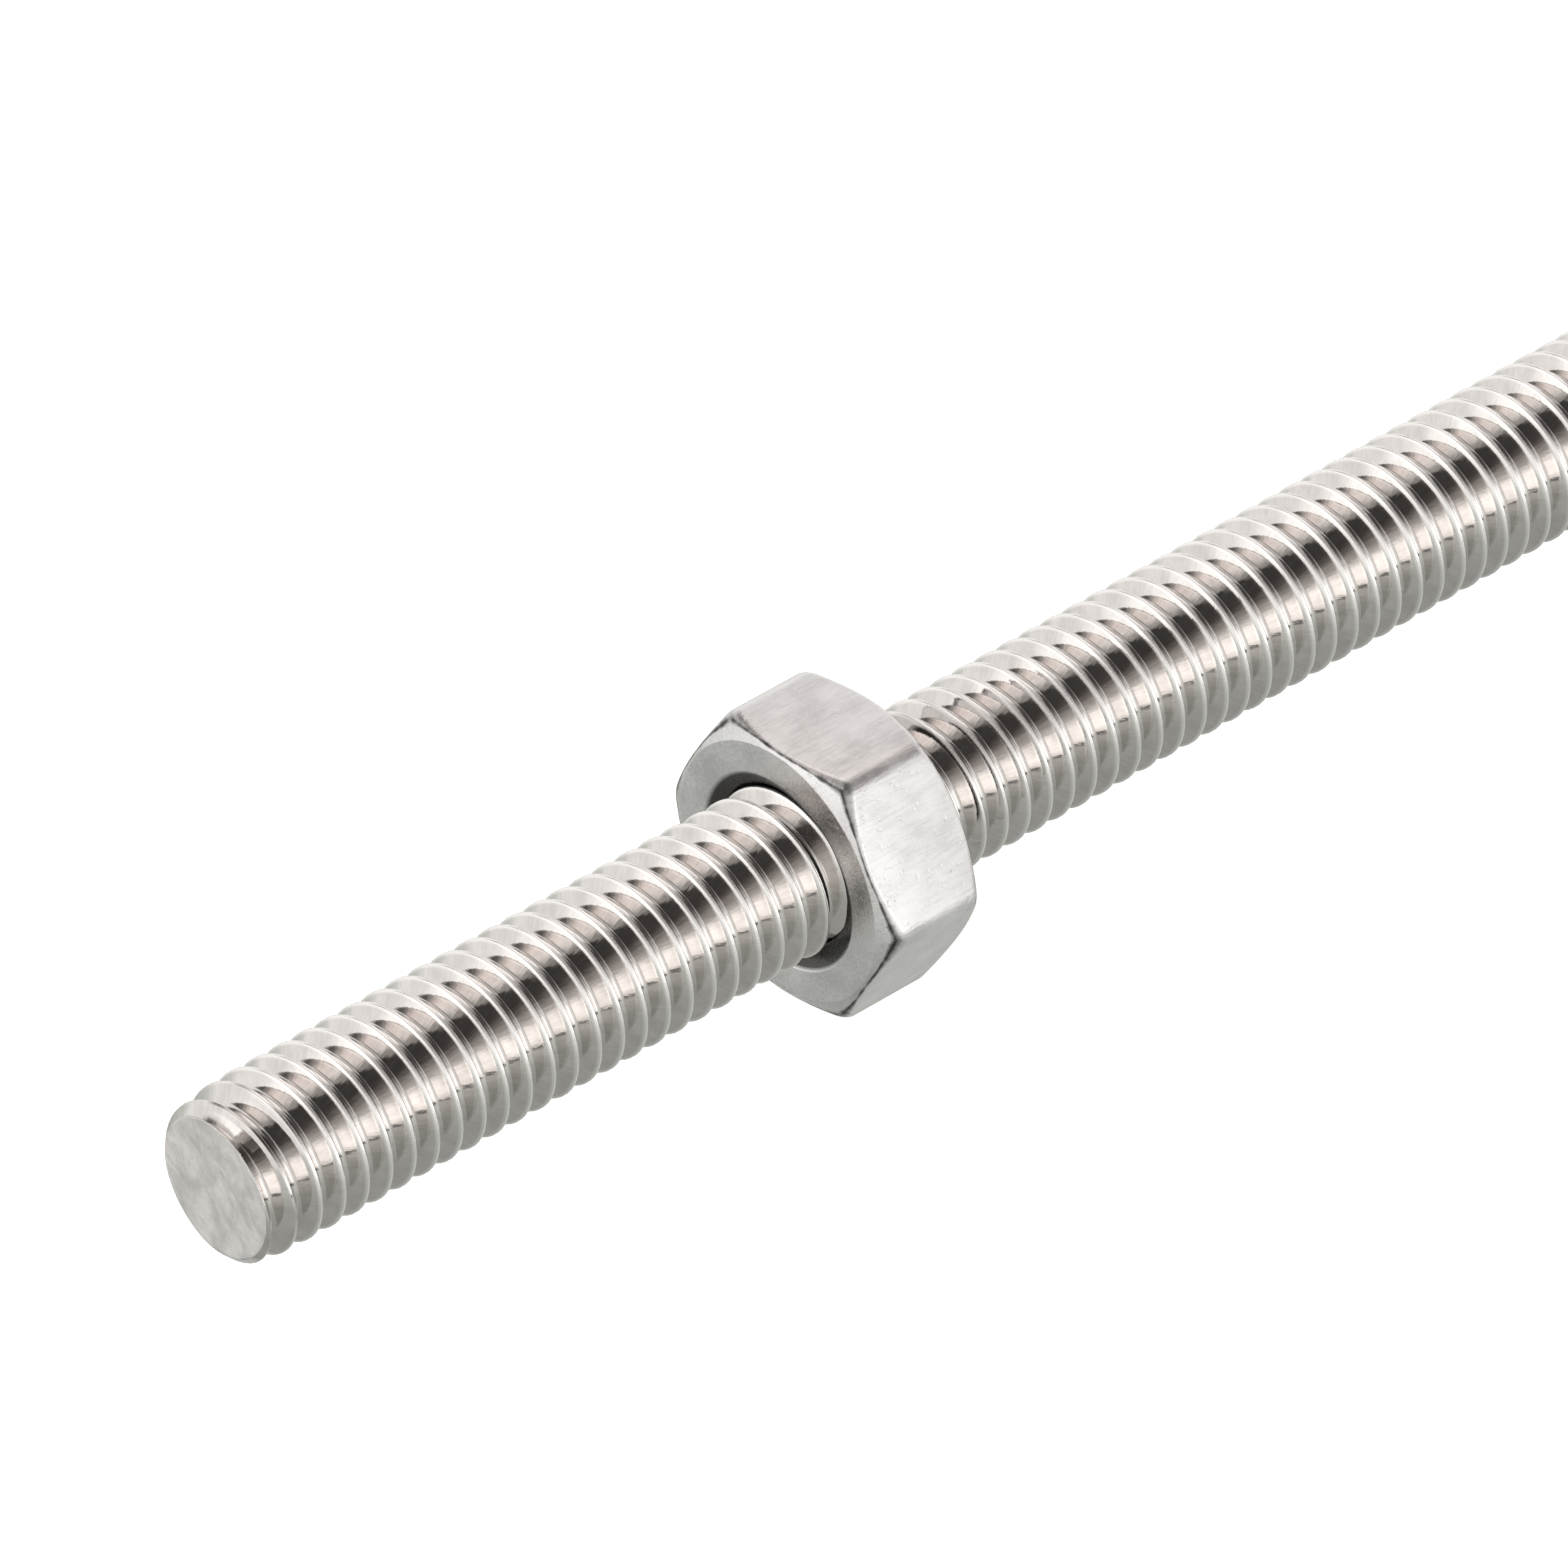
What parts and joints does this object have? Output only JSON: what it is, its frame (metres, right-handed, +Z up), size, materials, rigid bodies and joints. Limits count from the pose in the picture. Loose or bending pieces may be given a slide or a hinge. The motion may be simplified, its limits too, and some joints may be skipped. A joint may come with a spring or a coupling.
{
  "type": "threaded rod with hex nut",
  "caption": "Fully threaded steel rod with a loose hexagon nut that travels along it as it turns.",
  "frame": {"origin": "centre of the rod's near end face, on its axis", "axes": "+X along the rod from the near end to the far end, +Z up through a flat of the nut, +Y through a corner of the nut"},
  "size_m": [0.1, 0.011, 0.0098],
  "materials": {
    "rod_steel": "bright rolled",
    "nut_steel": "satin"
  },
  "bodies": {
    "rod": {"threaded_rod": "rod_steel"},
    "carrier": {"carrier_ring": "nut_steel"},
    "nut": {"hex_nut": "nut_steel"}
  },
  "joints": [
    {"name": "nut_travel", "type": "slide", "parent": "rod", "child": "carrier", "axis": [1, 0, 0], "range_m": [-0.024, 0.0708]},
    {"name": "nut_spin", "type": "hinge", "parent": "carrier", "child": "nut", "pos_m": [0.0266, 0, 0], "axis": [1, 0, 0], "continuous": true}
  ],
  "couplings": [
    {"joint": "nut_spin", "follows": "nut_travel", "rad_per_m": 6283.2}
  ]
}
